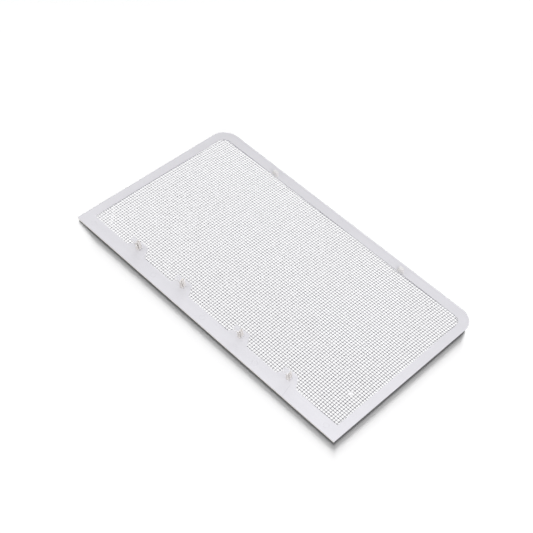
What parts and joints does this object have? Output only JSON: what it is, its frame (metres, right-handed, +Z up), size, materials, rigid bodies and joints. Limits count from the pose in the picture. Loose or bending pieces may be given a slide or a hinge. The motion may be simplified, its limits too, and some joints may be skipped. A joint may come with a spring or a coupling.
{
  "type": "queen excluder",
  "caption": "Thin rectangular beehive screen panel: a flat plastic rim holding a fine net, with snap hooks along one long side and lugs on the other.",
  "frame": {"origin": "centre of the panel's outline, on its flat underside", "axes": "+X along the panel's long sides, +Y from the snap hooks towards the lugs and the rounded corners, +Z up, the way the hooks stand"},
  "size_m": [0.47, 0.278, 0.0279],
  "materials": {
    "rim_plastic": "smooth satin moulded white plastic",
    "net_plastic": "thin matte strands",
    "hook_plastic": "smooth satin moulded white plastic",
    "lug_plastic": "smooth satin moulded white plastic"
  },
  "bodies": {
    "panel": {"rim": "rim_plastic", "net_lengthwise_strands": "net_plastic", "net_crosswise_strands": "net_plastic", "lug_left": "lug_plastic", "lug_right": "lug_plastic"},
    "hook_1": {"snap_hook_1": "hook_plastic"},
    "hook_2": {"snap_hook_2": "hook_plastic"},
    "hook_3": {"snap_hook_3": "hook_plastic"},
    "hook_4": {"snap_hook_4": "hook_plastic"}
  },
  "joints": [
    {"name": "hook_1_flex", "type": "hinge", "parent": "panel", "child": "hook_1", "pos_m": [-0.14, -0.114, 0.002], "axis": [-1, 0, 0], "range_deg": [0, 8], "stiffness_Nm_per_rad": 0.5},
    {"name": "hook_2_flex", "type": "hinge", "parent": "panel", "child": "hook_2", "pos_m": [-0.055, -0.114, 0.002], "axis": [-1, 0, 0], "range_deg": [0, 8], "stiffness_Nm_per_rad": 0.5},
    {"name": "hook_3_flex", "type": "hinge", "parent": "panel", "child": "hook_3", "pos_m": [0.051, -0.114, 0.002], "axis": [-1, 0, 0], "range_deg": [0, 8], "stiffness_Nm_per_rad": 0.5},
    {"name": "hook_4_flex", "type": "hinge", "parent": "panel", "child": "hook_4", "pos_m": [0.136, -0.114, 0.002], "axis": [-1, 0, 0], "range_deg": [0, 8], "stiffness_Nm_per_rad": 0.5}
  ]
}
